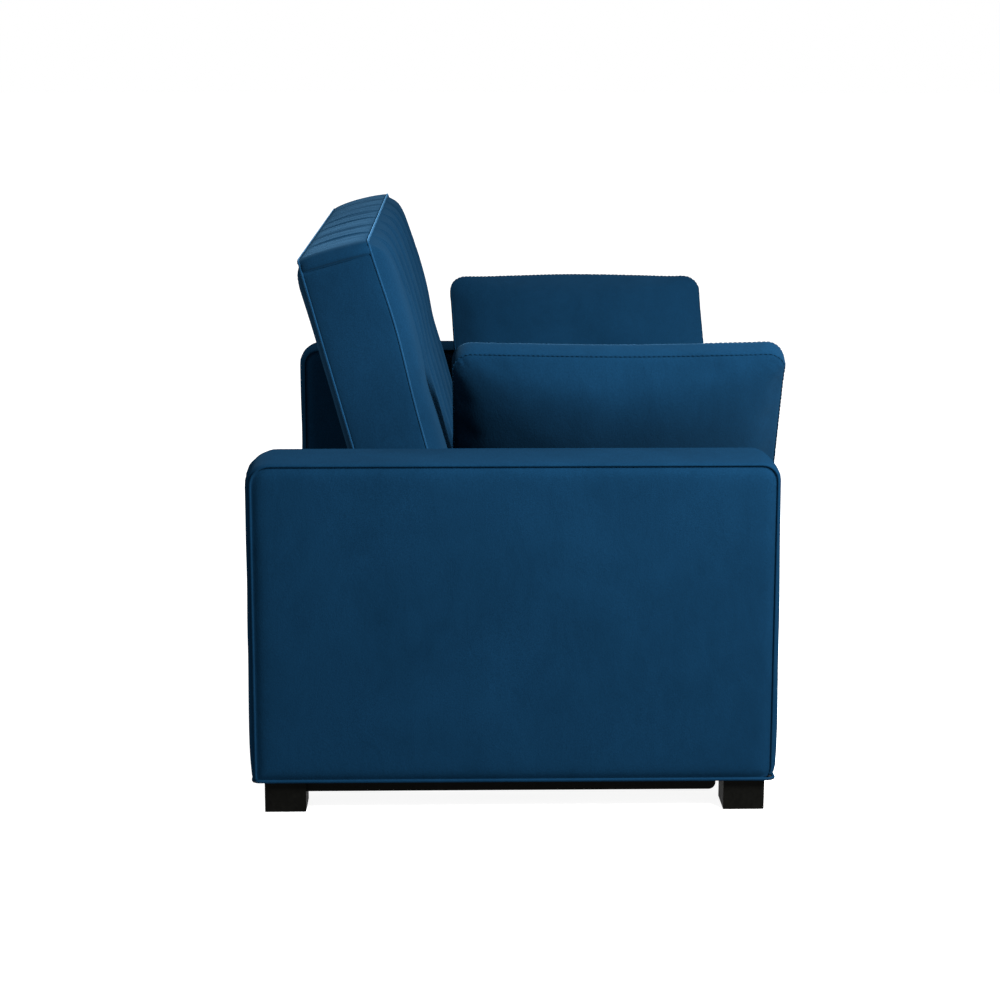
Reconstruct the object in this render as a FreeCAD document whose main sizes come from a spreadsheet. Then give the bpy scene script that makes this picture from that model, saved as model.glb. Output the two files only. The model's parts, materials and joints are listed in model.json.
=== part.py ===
import FreeCAD, Part
import math
import os

import Sketcher
from FreeCAD import Placement, Rotation, Vector

# Convertible sofa bed, in millimetres. +Z is up, the seat faces -Y and the origin is on the floor
# under the middle of the sofa. "left" and "right" are those of a person sitting on it, so left is +X.
#
# The seat steps forward over a fixed middle section on two pairs of parallel links, and the backrest
# falls flat behind it. Seat, middle section and backrest then make one level bed.

os.makedirs("parts", exist_ok=True)
doc = FreeCAD.newDocument("sofa_bed")
LEFT, RIGHT = 1, -1
SIDES = (("left", LEFT), ("right", RIGHT))

# ---------------------------------------------------------------- driving dimensions

SIZES = {
    "cover_thick": 3, "edge_round": 6,
    # arms
    "total_width": 1640, "arm_thick": 165, "arm_front": -432, "arm_rear": 471,
    "arm_bottom": 57, "arm_top": 612, "arm_foam": 18, "arm_inner_foam": 6,
    "panel_thick": 9, "arm_rail": 45, "cloth_thick": 1,
    # legs
    "leg_size": 71, "leg_inset": 12, "leg_front_gap": 18, "leg_rear_gap": 22, "leg_chamfer": 1.5,
    "leg_bolt_radius": 4, "leg_bolt_bottom": 15, "leg_bolt_length": 80,
    "base_rail_thick": 20, "base_rail_bottom": 35, "base_rail_inset": 20, "base_rail_gap": 13,
    "base_rail_round": 12,
    # steel rails between the arms
    "tube": 30, "tube_wall": 2, "cross_rail_bottom": 125, "rear_rail_bottom": 90,
    "front_rail_y": -292, "middle_rail_y": -70, "rear_rail_y": 395,
    # link mechanism
    "link_length": 250, "link_rise": 140, "link_width": 30, "link_thick": 6,
    "pivot_height": 190, "front_pivot_y": -337, "rear_pivot_y": -197,
    "outer_lane": 628, "inner_lane": 606, "pin_radius": 6, "pin_clearance": 0.05,
    "pin_head": 2, "pin_head_step": 3, "pin_reach": 2, "plate_thick": 5, "plate_margin": 22,
    "plate_chamfer": 12, "plate_clearance": 4,
    "plate_bolt_y": 35, "plate_bolt_up": 8, "plate_bolt_down": 18, "bolt_radius": 3, "bolt_depth": 20,
    "stop_thick": 14, "stop_length": 40, "stop_bottom": 325, "stop_front_y": -330, "stop_rear_y": -40,
    # middle section
    "middle_half_width": 590, "middle_front": -372, "middle_rear": 35, "middle_top": 295,
    "middle_bottom": 217, "slat_thick": 12, "slat_width": 60, "slat_inset": 10, "support_thick": 20,
    "support_inset": 5,
    # seat
    "seat_half_width": 645, "seat_front": -432, "seat_rear_low": 41, "seat_rear_high": 78,
    "seat_top": 440, "seat_cushion_bottom": 347, "seat_frame_half": 595, "seat_rail_width": 20,
    "seat_rail_bottom": 302, "seat_rail_top": 344, "seat_leg_depth": 22, "seat_leg_width": 50,
    "seat_leg_front": -397, "foot_gap": 3, "fascia_bottom": 150, "board_thick": 12,
    "apron_bottom": 60, "apron_front": -421, "apron_gap": 2, "apron_side_gap": 3,
    "strap_width": 60, "strap_thick": 2,
    # backrest, in its own frame: y back from the front face, z up along the cushion
    "back_half_width": 643.5, "back_thick": 125, "back_length": 788, "back_lean": 15.6,
    "back_corner_y": 56.2, "back_corner_z": 207.1, "back_pivot_depth": 57, "back_pivot_up": 50,
    "back_rail_width": 30, "back_rail_depth": 40, "back_rail_half": 626, "back_foam": 32,
    "back_rail_start": 12,
    "back_pin_radius": 8, "back_pin_end": 598, "back_pin_hole": 14,
    "hinge_half_depth": 32, "hinge_half_height": 45, "hinge_bolt_y": 20, "hinge_bolt_z": 32,
    "bumper_x": 450, "bumper_width": 40, "bumper_gap": 2,
    # loose pillows, in their own frame: y along the sofa's depth, z up the pillow
    "pillow_long": 589, "pillow_tall": 380, "pillow_thick": 170, "pillow_edge": 40,
    "pillow_corner": 45, "pillow_taper": 105, "pillow_front": -471, "pillow_lean": 28, "pillow_top_x": 595,
    "pillow_gap": 1,
}

sheet = doc.addObject("Spreadsheet::Sheet", "dim")
for row, (word, number) in enumerate(SIZES.items(), start=1):
    sheet.set(f"A{row}", word)
    sheet.set(f"B{row}", str(number))
    sheet.setAlias(f"B{row}", word)
doc.recompute()


def dim(word):
    """A driving dimension as a number."""
    return float(sheet.get(word))


# Tools that cut right through a piece reach this far past it.
PAST = 10
SLATS = 8
STRAPS = 9

# ---------------------------------------------------------------- builders


def bind(obj, prop, formula):
    """Binds one property to a formula of spreadsheet cells, written as dim.word."""
    obj.setExpression(prop, str(formula))


def block(label, low, size):
    """A box from its lowest corner and its size, each three formulas."""
    box = doc.addObject("Part::Box", label)
    for prop, formula in zip(("Length", "Width", "Height"), size):
        bind(box, prop, formula)
    for letter, formula in zip("xyz", low):
        bind(box, f"Placement.Base.{letter}", formula)
    return box


def span(label, low, high):
    """A box between two corners, each three formulas."""
    return block(label, low, [f"({top}) - ({bottom})" for bottom, top in zip(low, high)])


def across(label, half_width, low, high):
    """A box centred on X, between two (y, z) corners."""
    return span(label, (f"-({half_width})", *low), (half_width, *high))


def side_span(label, side, inner, outer, low, high):
    """A box on one side of the sofa: inner and outer distances from X = 0, then (y, z) corners."""
    if side == LEFT:
        return span(label, (inner, *low), (outer, *high))
    return span(label, (f"-({outer})", *low), (f"-({inner})", *high))


def rounded(label, solid):
    """The solid with its straight edges rounded."""
    doc.recompute()
    fillet = doc.addObject("Part::Fillet", label)
    fillet.Base = solid
    radius = dim("edge_round")
    fillet.Edges = [(number, radius, radius) for number in range(1, len(solid.Shape.Edges) + 1)]
    return fillet


def cut(label, base, *tools):
    """The base with the tools taken away."""
    tool = tools[0]
    if len(tools) > 1:
        tool = doc.addObject("Part::MultiFuse", label + "_tools")
        tool.Shapes = list(tools)
    result = doc.addObject("Part::Cut", label)
    result.Base = base
    result.Tool = tool
    return result


def group(label, solids):
    """Several separate solids that share one node."""
    result = doc.addObject("Part::Compound", label)
    result.Links = list(solids)
    return result


def rod(label, radius, start, length, axis=Vector(1, 0, 0)):
    """A cylinder along the axis, from start (three formulas), with its radius and length as formulas."""
    cylinder = doc.addObject("Part::Cylinder", label)
    bind(cylinder, "Radius", radius)
    bind(cylinder, "Height", length)
    cylinder.Placement = Placement(Vector(), Rotation(Vector(0, 0, 1), axis))
    for letter, formula in zip("xyz", start):
        bind(cylinder, f"Placement.Base.{letter}", formula)
    return cylinder


def headed_pin(label, side, root, tip, y_formula, z_formula, radius="dim.pin_radius"):
    """A pin along X from its root to its tip, with a retaining head past the tip."""
    outward = f"({tip}) - ({root})"
    way = f"{side} * abs({outward}) / ({outward})"
    shank = rod(label + "_shank", radius, (f"{side} * ({root})", y_formula, z_formula), f"abs({outward})")
    head = rod(label + "_head", f"{radius} + dim.pin_head_step",
               (f"{side} * ({tip})", y_formula, z_formula), "dim.pin_head")
    doc.recompute()
    if float(sheet.evalExpression(way)) < 0:
        for piece in (shank, head):
            turned = Rotation(Vector(0, 0, 1), Vector(-1, 0, 0))
            piece.Placement = Placement(piece.Placement.Base, turned)
    pin = doc.addObject("Part::MultiFuse", label)
    pin.Shapes = [shank, head]
    return pin


def origin_plane(body, role):
    """One of a body's own origin planes."""
    for feature in body.Origin.OriginFeatures:
        if feature.Role == role:
            return feature


def sketch_on(body, role, name):
    sketch = body.newObject("Sketcher::SketchObject", name)
    sketch.AttachmentSupport = [(origin_plane(body, role), "")]
    sketch.MapMode = "FlatFace"
    return sketch


def polygon(sketch, corners):
    """A closed outline whose corners, each two formulas, are bound to the spreadsheet."""
    points = [Vector(*(float(sheet.evalExpression(f)) for f in corner), 0) for corner in corners]
    for number, point in enumerate(points):
        following = points[(number + 1) % len(points)]
        sketch.addGeometry(Part.LineSegment(point, following), False)
    for number, (corner, point) in enumerate(zip(corners, points)):
        previous = (number - 1) % len(points)
        sketch.addConstraint(Sketcher.Constraint("Coincident", previous, 2, number, 1))
        for way, formula, value in zip(("DistanceX", "DistanceY"), corner, point):
            index = sketch.addConstraint(Sketcher.Constraint(way, -1, 1, number, 1, value))
            sketch.setExpression(f"Constraints[{index}]", formula)


def circle(sketch, centre, radius):
    """A circle whose centre and radius are bound to the spreadsheet."""
    x_value, y_value = (float(sheet.evalExpression(f)) for f in centre)
    number = sketch.addGeometry(
        Part.Circle(Vector(x_value, y_value, 0), Vector(0, 0, 1), float(sheet.evalExpression(radius))))
    for way, formula, value in zip(("DistanceX", "DistanceY"), centre, (x_value, y_value)):
        index = sketch.addConstraint(Sketcher.Constraint(way, -1, 1, number, 3, value))
        sketch.setExpression(f"Constraints[{index}]", formula)
    index = sketch.addConstraint(
        Sketcher.Constraint("Radius", number, float(sheet.evalExpression(radius))))
    sketch.setExpression(f"Constraints[{index}]", radius)


def pad(body, sketch, length, middle=False):
    feature = body.newObject("PartDesign::Pad", sketch.Name + "_pad")
    feature.Profile = sketch
    feature.Midplane = middle
    bind(feature, "Length", length)
    return feature


def through_pocket(body, sketch):
    """Cuts the sketch through the whole body, both ways."""
    feature = body.newObject("PartDesign::Pocket", sketch.Name + "_pocket")
    feature.Profile = sketch
    feature.Type = "ThroughAll"
    feature.Midplane = True
    return feature


def cross_section(label, corners, half_width):
    """A body whose (y, z) outline runs the same distance to each side of X = 0."""
    body = doc.addObject("PartDesign::Body", label)
    sketch = sketch_on(body, "YZ_Plane", label + "_outline")
    polygon(sketch, corners)
    pad(body, sketch, f"2 * ({half_width})", middle=True)
    return body


# ---------------------------------------------------------------- arms


def arm_shell(label, side, gap, bottom, inner_gap=None):
    """A block of the arm's outline, drawn in from it by a gap on every face but its bottom."""
    inner_gap = gap if inner_gap is None else inner_gap
    return side_span(
        label, side,
        f"dim.total_width / 2 - dim.arm_thick + {inner_gap}", f"dim.total_width / 2 - {gap}",
        (f"dim.arm_front + {gap}", bottom), (f"dim.arm_rear - {gap}", f"dim.arm_top - {gap}"))


def make_arm(word, side):
    """One arm: a boxed wooden frame, a foam wrap, a stapled cover and a cloth under it."""
    name = f"arm_{word}_"
    below = f"dim.arm_bottom - {PAST}"
    cloth_top = "dim.arm_bottom + dim.cloth_thick"
    frame_gap = "(dim.cover_thick + dim.arm_foam)"
    inner_gap = "(dim.cover_thick + dim.arm_inner_foam)"

    outside = rounded(name + "outside", arm_shell(name + "envelope", side, "0", "dim.arm_bottom"))
    cut(name + "cover", outside, arm_shell(name + "cover_inside", side, "dim.cover_thick", below))
    foam = arm_shell(name + "foam_outside", side, "dim.cover_thick", cloth_top)
    cut(name + "padding", foam, arm_shell(name + "foam_inside", side, frame_gap, below, inner_gap))

    inner = f"dim.total_width / 2 - dim.arm_thick + {inner_gap}"
    outer = f"dim.total_width / 2 - {frame_gap}"
    low = (f"dim.arm_front + {frame_gap}", cloth_top)
    high = (f"dim.arm_rear - {frame_gap}", f"dim.arm_top - {frame_gap}")
    group(name + "panels", [
        side_span(name + "inner_panel", side, inner, f"{inner} + dim.panel_thick", low, high),
        side_span(name + "outer_panel", side, f"{outer} - dim.panel_thick", outer, low, high)])

    core_inner = f"{inner} + dim.panel_thick"
    core_outer = f"{outer} - dim.panel_thick"
    window_low = [f"{formula} + dim.arm_rail" for formula in low]
    window_high = [f"{formula} - dim.arm_rail" for formula in high]
    middle = "(dim.arm_front + dim.arm_rear) / 2"
    ring = side_span(name + "core_block", side, core_inner, core_outer, low, high)
    window_sides = f"{core_inner} - {PAST}", f"{core_outer} + {PAST}"
    windows = [
        side_span(name + "front_window", side, *window_sides, window_low,
                  (f"{middle} - dim.arm_rail / 2", window_high[1])),
        side_span(name + "rear_window", side, *window_sides,
                  (f"{middle} + dim.arm_rail / 2", window_low[1]), window_high)]
    cut(name + "core", ring, *windows)


def arm_cloth(word, side):
    """The thin cloth that closes an arm's underside."""
    return side_span(f"arm_{word}_dust_cover", side,
                     "dim.total_width / 2 - dim.arm_thick + dim.cover_thick",
                     "dim.total_width / 2 - dim.cover_thick",
                     ("dim.arm_front + dim.cover_thick", "dim.arm_bottom"),
                     ("dim.arm_rear - dim.cover_thick", "dim.arm_bottom + dim.cloth_thick"))


def leg_y(end):
    """The (front, rear) formulas of a leg's faces at one end of an arm."""
    if end == "front":
        return "dim.arm_front + dim.leg_front_gap", "dim.arm_front + dim.leg_front_gap + dim.leg_size"
    return "dim.arm_rear - dim.leg_rear_gap - dim.leg_size", "dim.arm_rear - dim.leg_rear_gap"


def make_leg(end, word, side):
    """A square block leg with a fine chamfer round every edge."""
    front, rear = leg_y(end)
    outer = "dim.total_width / 2 - dim.leg_inset"
    body = doc.addObject("PartDesign::Body", f"{end}_{word}_leg")
    sketch = sketch_on(body, "XY_Plane", body.Name + "_plan")
    near, far = f"{side} * ({outer} - dim.leg_size)", f"{side} * ({outer})"
    polygon(sketch, [(near, front), (far, front), (far, rear), (near, rear)])
    block_pad = pad(body, sketch, "dim.arm_bottom")
    doc.recompute()
    chamfer = body.newObject("PartDesign::Chamfer", body.Name + "_chamfer")
    chamfer.Base = (block_pad, ["Face6", "Face5"])
    bind(chamfer, "Size", "dim.leg_chamfer")
    return body


def make_base_rail(word, side):
    """The black runner under an arm, between its legs, with a rounded front end."""
    outer = "dim.total_width / 2 - dim.base_rail_inset"
    front, rear = f"{leg_y('front')[1]} + dim.base_rail_gap", leg_y("rear")[0]
    rail = side_span(f"arm_{word}_base_rail_bar", side, f"{outer} - dim.base_rail_thick", outer,
                     (front, "dim.base_rail_bottom"), (rear, "dim.arm_bottom"))
    doc.recompute()
    box = rail.Shape.BoundBox
    corner = [number for number, edge in enumerate(rail.Shape.Edges, start=1)
              if edge.BoundBox.YMax < box.Center.y and edge.BoundBox.ZMax < box.Center.z
              and edge.BoundBox.XLength > box.XLength / 2]
    fillet = doc.addObject("Part::Fillet", f"arm_{word}_base_rail")
    fillet.Base = rail
    radius = dim("base_rail_round")
    fillet.Edges = [(number, radius, radius) for number in corner]


for word, side in SIDES:
    make_arm(word, side)
    make_base_rail(word, side)
    for end in ("front", "rear"):
        make_leg(end, word, side)

group("arm_dust_covers", [arm_cloth(word, side) for word, side in SIDES])

leg_centre = "dim.total_width / 2 - dim.leg_inset - dim.leg_size / 2"
group("leg_bolts", [
    rod(f"leg_bolt_{end}_{word}", "dim.leg_bolt_radius",
        (f"{side} * ({leg_centre})", f"({leg_y(end)[0]} + {leg_y(end)[1]}) / 2", "dim.leg_bolt_bottom"),
        "dim.leg_bolt_length", Vector(0, 0, 1))
    for word, side in SIDES for end in ("front", "rear")])

# ---------------------------------------------------------------- fixed frame between the arms

arm_face = "(dim.total_width / 2 - dim.arm_thick)"


def make_tube(label, y_word, bottom_word):
    """A square steel tube from arm to arm."""
    low, high = (y_word, bottom_word), (f"{y_word} + dim.tube", f"{bottom_word} + dim.tube")
    inside_low = [f"{formula} + dim.tube_wall" for formula in low]
    inside_high = [f"{formula} - dim.tube_wall" for formula in high]
    cut(label, across(label + "_bar", arm_face, low, high),
        across(label + "_bore", f"{arm_face} + {PAST}", inside_low, inside_high))


make_tube("front_cross_rail", "dim.front_rail_y", "dim.cross_rail_bottom")
make_tube("middle_cross_rail", "dim.middle_rail_y", "dim.cross_rail_bottom")
make_tube("rear_cross_rail", "dim.rear_rail_y", "dim.rear_rail_bottom")

rail_top = "dim.cross_rail_bottom + dim.tube"
slat_bottom = "dim.middle_bottom - dim.slat_thick"
group("middle_supports", [
    across(label, "dim.middle_half_width - dim.support_inset", (f"{rail_y} + dim.support_inset", rail_top),
           (f"{rail_y} + dim.support_inset + dim.support_thick", slat_bottom))
    for label, rail_y in (("support_front", "dim.front_rail_y"), ("support_rear", "dim.middle_rail_y"))])

slat_start = "dim.support_inset - dim.middle_half_width"
slat_pitch = f"(-2 * ({slat_start}) - dim.slat_width) / {SLATS - 1}"
group("middle_slats", [
    block(f"slat_{number}",
          (f"{slat_start} + {number} * ({slat_pitch})", "dim.middle_front + dim.slat_inset", slat_bottom),
          ("dim.slat_width", "dim.middle_rear - dim.middle_front - 2 * dim.slat_inset", "dim.slat_thick"))
    for number in range(SLATS)])

middle_gap = "dim.cover_thick"
across("middle_foam", f"dim.middle_half_width - {middle_gap}",
       (f"dim.middle_front + {middle_gap}", "dim.middle_bottom"),
       (f"dim.middle_rear - {middle_gap}", f"dim.middle_top - {middle_gap}"))
middle_outside = rounded("middle_outside", across(
    "middle_envelope", "dim.middle_half_width",
    ("dim.middle_front", "dim.middle_bottom"), ("dim.middle_rear", "dim.middle_top")))
cut("middle_cover", middle_outside, across(
    "middle_inside", f"dim.middle_half_width - {middle_gap}",
    (f"dim.middle_front + {middle_gap}", f"dim.middle_bottom - {PAST}"),
    (f"dim.middle_rear - {middle_gap}", f"dim.middle_top - {middle_gap}")))

apron_top = "dim.fascia_bottom - dim.apron_gap"
apron_half = f"{arm_face} - dim.apron_side_gap"
board_front = "dim.apron_front + dim.cover_thick"
across("front_apron_board", f"{apron_half} - dim.cover_thick",
       (board_front, "dim.apron_bottom + dim.cover_thick"),
       (f"{board_front} + dim.board_thick", f"{apron_top} - dim.cover_thick"))
cut("front_apron_cover",
    across("apron_envelope", apron_half, ("dim.apron_front", "dim.apron_bottom"),
           (f"{board_front} + dim.board_thick", apron_top)),
    across("apron_inside", f"{apron_half} - dim.cover_thick",
           (board_front, "dim.apron_bottom + dim.cover_thick"),
           (f"{board_front} + dim.board_thick + {PAST}", f"{apron_top} - dim.cover_thick")))

# ---------------------------------------------------------------- link mechanism

plate_face = f"({arm_face} - dim.plate_thick)"


def make_mechanism_plate(word, side):
    """The steel plate on an arm's inner face that carries both base pivots."""
    body = doc.addObject("PartDesign::Body", f"mechanism_plate_{word}")
    sketch = sketch_on(body, "YZ_Plane", body.Name + "_outline")
    front, rear = "dim.front_pivot_y - dim.plate_margin", "dim.rear_pivot_y + dim.plate_margin"
    top = "dim.pivot_height + dim.plate_margin"
    low, waist = f"{rail_top} + dim.plate_clearance", "dim.pivot_height - dim.plate_margin / 2"
    near, far = f"{front} + dim.plate_chamfer", f"{rear} - dim.plate_chamfer"
    under = f"{top} - dim.plate_chamfer"
    polygon(sketch, [(near, low), (far, low), (rear, waist), (rear, under),
                     (far, top), (near, top), (front, under), (front, waist)])
    pad(body, sketch, "dim.plate_thick")
    lowest = arm_face if side == RIGHT else plate_face
    bind(body, "Placement.Base.x", f"{side} * {lowest}")
    return body


for word, side in SIDES:
    make_mechanism_plate(word, side)

PIVOTS = (("front", "dim.front_pivot_y", "dim.outer_lane"), ("rear", "dim.rear_pivot_y", "dim.inner_lane"))
link_run = "sqrt(dim.link_length ^ 2 - dim.link_rise ^ 2)"
upper_z = "dim.pivot_height + dim.link_rise"

group("base_pivot_pins", [
    headed_pin(f"base_pin_{end}_{word}", side, plate_face, f"{lane} - dim.pin_reach", pivot_y,
               "dim.pivot_height")
    for word, side in SIDES for end, pivot_y, lane in PIVOTS])
group("seat_pivot_pins", [
    headed_pin(f"seat_pin_{end}_{word}", side, "dim.seat_frame_half",
               f"{lane} + dim.link_thick + dim.pin_reach",
               f"{pivot_y} + {link_run}", upper_z)
    for word, side in SIDES for end, pivot_y, lane in PIVOTS])

plate_bolts = [(y, z) for y in ("dim.front_pivot_y + dim.plate_bolt_y", "dim.rear_pivot_y - dim.plate_bolt_y")
               for z in ("dim.pivot_height + dim.plate_bolt_up", "dim.pivot_height - dim.plate_bolt_down")]


def make_link(end, word, side, pivot_y, lane):
    """A flat steel link with round ends, leaning back from its base pivot to its upper pivot."""
    body = doc.addObject("PartDesign::Body", f"{end}_link_{word}")
    half, length = "dim.link_width / 2", "dim.link_length"
    outline = sketch_on(body, "XY_Plane", body.Name + "_outline")
    radius, reach = dim("link_width") / 2, dim("link_length")
    outline.addGeometry(Part.LineSegment(Vector(0, -radius, 0), Vector(reach, -radius, 0)), False)
    outline.addGeometry(Part.ArcOfCircle(Part.Circle(Vector(reach, 0, 0), Vector(0, 0, 1), radius),
                                         -math.pi / 2, math.pi / 2), False)
    outline.addGeometry(Part.LineSegment(Vector(reach, radius, 0), Vector(0, radius, 0)), False)
    outline.addGeometry(Part.ArcOfCircle(Part.Circle(Vector(0, 0, 0), Vector(0, 0, 1), radius),
                                         math.pi / 2, 3 * math.pi / 2), False)
    for first, last in ((0, 1), (1, 2), (2, 3), (3, 0)):
        outline.addConstraint(Sketcher.Constraint("Tangent", first, 2, last, 1))
    outline.addConstraint(Sketcher.Constraint("Coincident", 3, 3, -1, 1))
    outline.addConstraint(Sketcher.Constraint("PointOnObject", 1, 3, -1))
    across_pivots = outline.addConstraint(Sketcher.Constraint("DistanceX", 3, 3, 1, 3, reach))
    outline.setExpression(f"Constraints[{across_pivots}]", length)
    end_radius = outline.addConstraint(Sketcher.Constraint("Radius", 3, radius))
    outline.setExpression(f"Constraints[{end_radius}]", half)
    pad(body, outline, "dim.link_thick")
    holes = sketch_on(body, "XY_Plane", body.Name + "_holes")
    for centre in ("0", length):
        circle(holes, (centre, "0"), "dim.pin_radius + dim.pin_clearance")
    through_pocket(body, holes)
    # The link's length lies along its local x and its thickness along local z, which becomes X.
    lean = math.asin(dim("link_rise") / dim("link_length"))
    turned = Rotation(Vector(0, math.cos(lean), math.sin(lean)), Vector(), Vector(1, 0, 0), "XZY")
    near = dim(lane) if side == LEFT else -dim(lane) - dim("link_thick")
    body.Placement = Placement(Vector(near, dim(pivot_y), dim("pivot_height")), turned)


for end, pivot_y, lane in PIVOTS:
    for word, side in SIDES:
        make_link(end, word, side, pivot_y.split(".")[1], lane.split(".")[1])

group("seat_stop_blocks", [
    side_span(f"seat_stop_{end}_{word}", side, f"{arm_face} - dim.stop_thick", arm_face,
              (y, "dim.stop_bottom"), (f"{y} + dim.stop_length", "dim.seat_cushion_bottom - 1"))
    for word, side in SIDES for end, y in (("front", "dim.stop_front_y"), ("rear", "dim.stop_rear_y"))])

# ---------------------------------------------------------------- seat

rail_inner = "dim.seat_frame_half - dim.seat_rail_width"
rail_front, rail_rear = "dim.seat_front + dim.cover_thick + dim.board_thick", "dim.seat_rear_low - 3"
for word, side in SIDES:
    low, high = (rail_front, "dim.seat_rail_bottom"), (rail_rear, "dim.seat_rail_top")
    side_span(f"seat_side_rail_{word}", side, rail_inner, "dim.seat_frame_half", low, high)
    side_span(f"seat_leg_{word}", side, "dim.seat_frame_half - dim.seat_leg_width", "dim.seat_frame_half",
              ("dim.seat_leg_front", "dim.link_rise + dim.foot_gap"),
              ("dim.seat_leg_front + dim.seat_leg_depth", "dim.seat_rail_bottom"))
for label, y in (("seat_front_rail", rail_front), ("seat_rear_rail", f"{rail_rear} - dim.seat_rail_width")):
    across(label, rail_inner, (y, "dim.seat_rail_bottom"),
           (f"{y} + dim.seat_rail_width", "dim.seat_rail_top"))


def straps(label, count, half_width, low, high):
    """Webbing straps side by side across the width, each between two (second, third axis) corners."""
    pitch = f"(2 * ({half_width}) - dim.strap_width) / {count - 1}"
    size = ["dim.strap_width"] + [f"({top}) - ({bottom})" for bottom, top in zip(low, high)]
    return group(label, [
        block(f"{label}_{number}", (f"-({half_width}) + {number} * ({pitch})", *low), size)
        for number in range(count)])


straps("seat_webbing", STRAPS, rail_inner, (rail_front, "dim.seat_rail_top"),
       (rail_rear, "dim.seat_rail_top + dim.strap_thick"))


def seat_outline(gap, bottom):
    """The seat cushion's (y, z) outline drawn in by a gap; its rear face leans back with the backrest."""
    lean = "(dim.seat_rear_high - dim.seat_rear_low) / (dim.seat_top - dim.seat_cushion_bottom)"
    return [(f"dim.seat_front + {gap}", bottom),
            (f"dim.seat_rear_low - {gap} + {lean} * ({bottom} - dim.seat_cushion_bottom)", bottom),
            (f"dim.seat_rear_high - {gap} - {lean} * {gap}", f"dim.seat_top - {gap}"),
            (f"dim.seat_front + {gap}", f"dim.seat_top - {gap}")]


cross_section("seat_foam", seat_outline("dim.cover_thick", "dim.seat_cushion_bottom"),
              "dim.seat_half_width - dim.cover_thick")
seat_outside = rounded("seat_outside", cross_section(
    "seat_envelope", seat_outline("0", "dim.seat_cushion_bottom"), "dim.seat_half_width"))
cut("seat_cover", seat_outside, cross_section(
    "seat_inside", seat_outline("dim.cover_thick", f"(dim.seat_cushion_bottom - {PAST})"),
    "dim.seat_half_width - dim.cover_thick"))

fascia_top = "dim.seat_cushion_bottom - 1"
fascia_half = "dim.seat_half_width"
fascia_low = ("dim.seat_front + dim.cover_thick", "dim.fascia_bottom + dim.cover_thick")
across("seat_fascia_board", f"{fascia_half} - dim.cover_thick", fascia_low,
       ("dim.seat_front + dim.cover_thick + dim.board_thick", f"{fascia_top} - dim.cover_thick"))
cut("seat_fascia_cover",
    across("fascia_envelope", fascia_half, ("dim.seat_front", "dim.fascia_bottom"),
           ("dim.seat_front + dim.cover_thick + dim.board_thick", fascia_top)),
    across("fascia_inside", f"{fascia_half} - dim.cover_thick", fascia_low,
           (f"dim.seat_front + dim.cover_thick + dim.board_thick + {PAST}",
            f"{fascia_top} - dim.cover_thick")))

# ---------------------------------------------------------------- backrest

back_place = Placement(Vector(0, dim("back_corner_y"), dim("back_corner_z")),
                       Rotation(Vector(1, 0, 0), -dim("back_lean")))
pivot_local = Vector(0, dim("back_pivot_depth"), dim("back_pivot_up"))
pivot = back_place.multVec(pivot_local)
back_pivot = (f"{pivot.y}", f"{pivot.z}")


def lean_back(piece):
    """Moves a piece from the backrest's own frame to its place on the sofa."""
    doc.recompute()
    piece.Placement = back_place
    return piece


def pivot_bore(label, radius):
    """A tool that cuts a hole on the backrest's pivot line, right across the sofa."""
    return rod(label, radius, ("-dim.total_width / 2", "dim.back_pivot_depth", "dim.back_pivot_up"),
               "dim.total_width")


def back_block(label, gap, bottom, front_gap=None, rear_gap=None):
    front_gap = gap if front_gap is None else front_gap
    rear_gap = gap if rear_gap is None else rear_gap
    return across(label, f"dim.back_half_width - {gap}", (front_gap, bottom),
                  (f"dim.back_thick - {rear_gap}", f"dim.back_length - {gap}"))


back_outside = rounded("back_outside", back_block("back_envelope", "0", "0"))
lean_back(cut("backrest_cover", back_outside,
              back_block("back_cover_inside", "dim.cover_thick", f"-{PAST}"),
              pivot_bore("back_cover_hole", "dim.back_pin_hole")))
cavity_gap = "(dim.back_half_width - dim.back_rail_half)"
cavity_depth = "(dim.cover_thick + dim.back_foam)"
cavity = back_block("back_cavity", cavity_gap, f"-{PAST}", cavity_depth, cavity_depth)
lean_back(cut("backrest_foam", back_block("back_foam_outside", "dim.cover_thick", "2"), cavity,
              pivot_bore("back_foam_hole", "dim.back_pin_hole")))

rail_low_y = "dim.back_pivot_depth - dim.back_rail_depth / 2"
rail_high_y = "dim.back_pivot_depth + dim.back_rail_depth / 2"
back_inner = "dim.back_rail_half - dim.back_rail_width"
rail_end = f"dim.back_length - {cavity_gap} - 1"
for word, side in SIDES:
    bar = side_span(f"back_bar_{word}", side, back_inner, "dim.back_rail_half - 0.5",
                    (rail_low_y, "dim.back_rail_start"), (rail_high_y, rail_end))
    bore = pivot_bore(f"back_bore_{word}", "dim.back_pin_radius + dim.pin_clearance")
    lean_back(cut(f"backrest_side_rail_{word}", bar, bore))
for label, low, high in (
        ("backrest_top_rail", f"{rail_end} - dim.back_rail_depth", rail_end),
        ("backrest_bottom_rail", "dim.back_rail_start", "dim.back_rail_start + dim.back_rail_depth")):
    lean_back(group(label, [across(label + "_bar", back_inner, (rail_low_y, low), (rail_high_y, high))]))
lean_back(straps("backrest_webbing", STRAPS, back_inner,
                 (f"{rail_low_y} - dim.strap_thick", "dim.back_rail_start + dim.strap_thick"),
                 (rail_low_y, rail_end)))

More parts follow.
